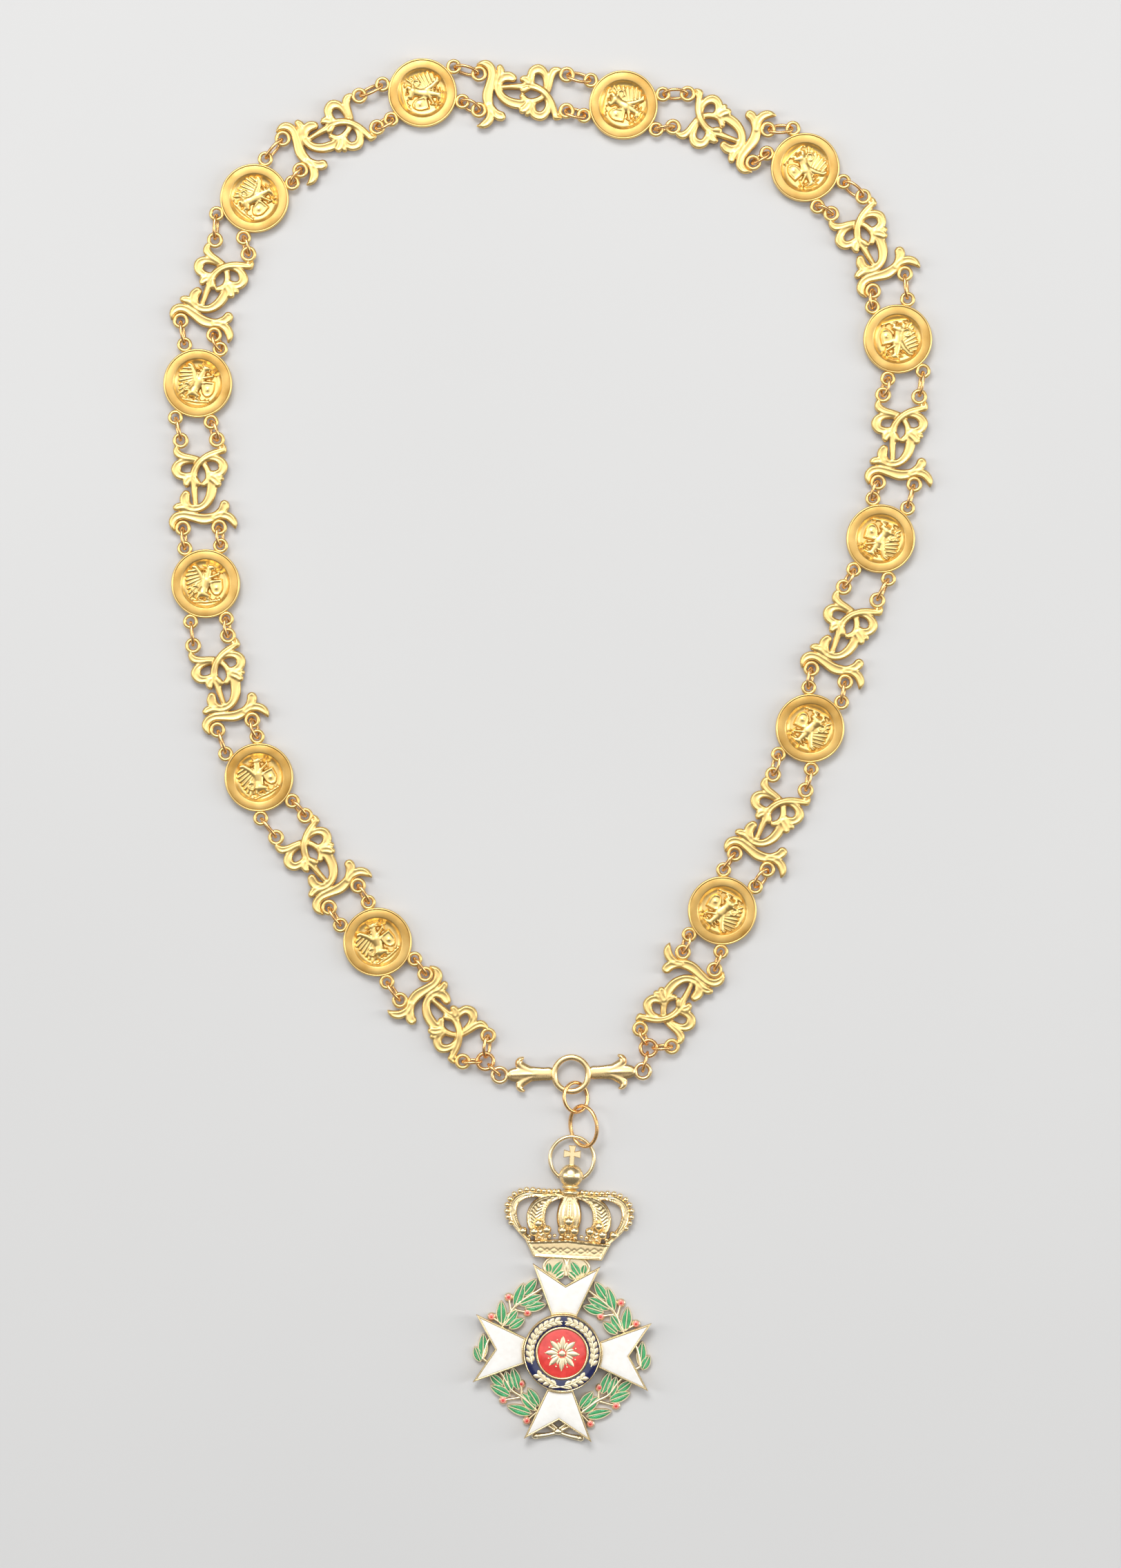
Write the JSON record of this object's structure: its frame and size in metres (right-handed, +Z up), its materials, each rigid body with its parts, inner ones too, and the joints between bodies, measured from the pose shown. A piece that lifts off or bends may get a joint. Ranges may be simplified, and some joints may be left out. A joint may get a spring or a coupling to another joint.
{
  "type": "order insignia",
  "caption": "Chain collar of openwork scroll links and round medallions on jump rings, closed by a crossbar that carries a crowned, enamelled eight-pointed cross with a laurel wreath.",
  "frame": {"origin": "middle of the collar's whole outline, on the plane it lies on", "axes": "+Z up, away from that plane; +Y from the badge to the top of the loop, along the collar's greatest length; +X to the right seen from above"},
  "size_m": [0.2564, 0.4617, 0.0076],
  "materials": {
    "gold": "satin gilt with polished edges",
    "copper_gold": "polished red gold wire",
    "white_enamel": "glossy opaque enamel",
    "green_enamel": "glossy translucent enamel in gold cells",
    "blue_enamel": "glossy enamel",
    "red_enamel": "glossy enamel"
  },
  "bodies": {
    "root": {"crown": "gold", "crossbar": "gold", "cross_body": "gold", "centre_boss": "gold", "medallion_01": "gold", "medallion_02": "gold", "medallion_03": "gold", "medallion_04": "gold", "medallion_05": "gold", "medallion_06": "gold", "medallion_07": "gold", "medallion_08": "gold", "medallion_09": "gold", "medallion_10": "gold", "medallion_11": "gold", "medallion_12": "gold", "scroll_link_01": "gold", "scroll_link_02": "gold", "scroll_link_03": "gold", "scroll_link_04": "gold", "scroll_link_05": "gold", "scroll_link_06": "gold", "scroll_link_07": "gold", "scroll_link_08": "gold", "scroll_link_09": "gold", "scroll_link_10": "gold", "scroll_link_11": "gold", "scroll_link_12": "gold", "scroll_link_13": "gold", "connecting_ring_left": "copper_gold", "connecting_ring_right": "copper_gold", "bar_ring_left": "copper_gold", "bar_ring_right": "copper_gold", "pendant_ring_upper": "copper_gold", "pendant_ring_lower": "copper_gold", "enamel_arm_top": "white_enamel", "enamel_arm_right": "white_enamel", "enamel_arm_bottom": "white_enamel", "enamel_arm_left": "white_enamel", "wreath": "green_enamel", "centre_ring_blue": "blue_enamel", "centre_disc_red": "red_enamel"}
  },
  "joints": []
}
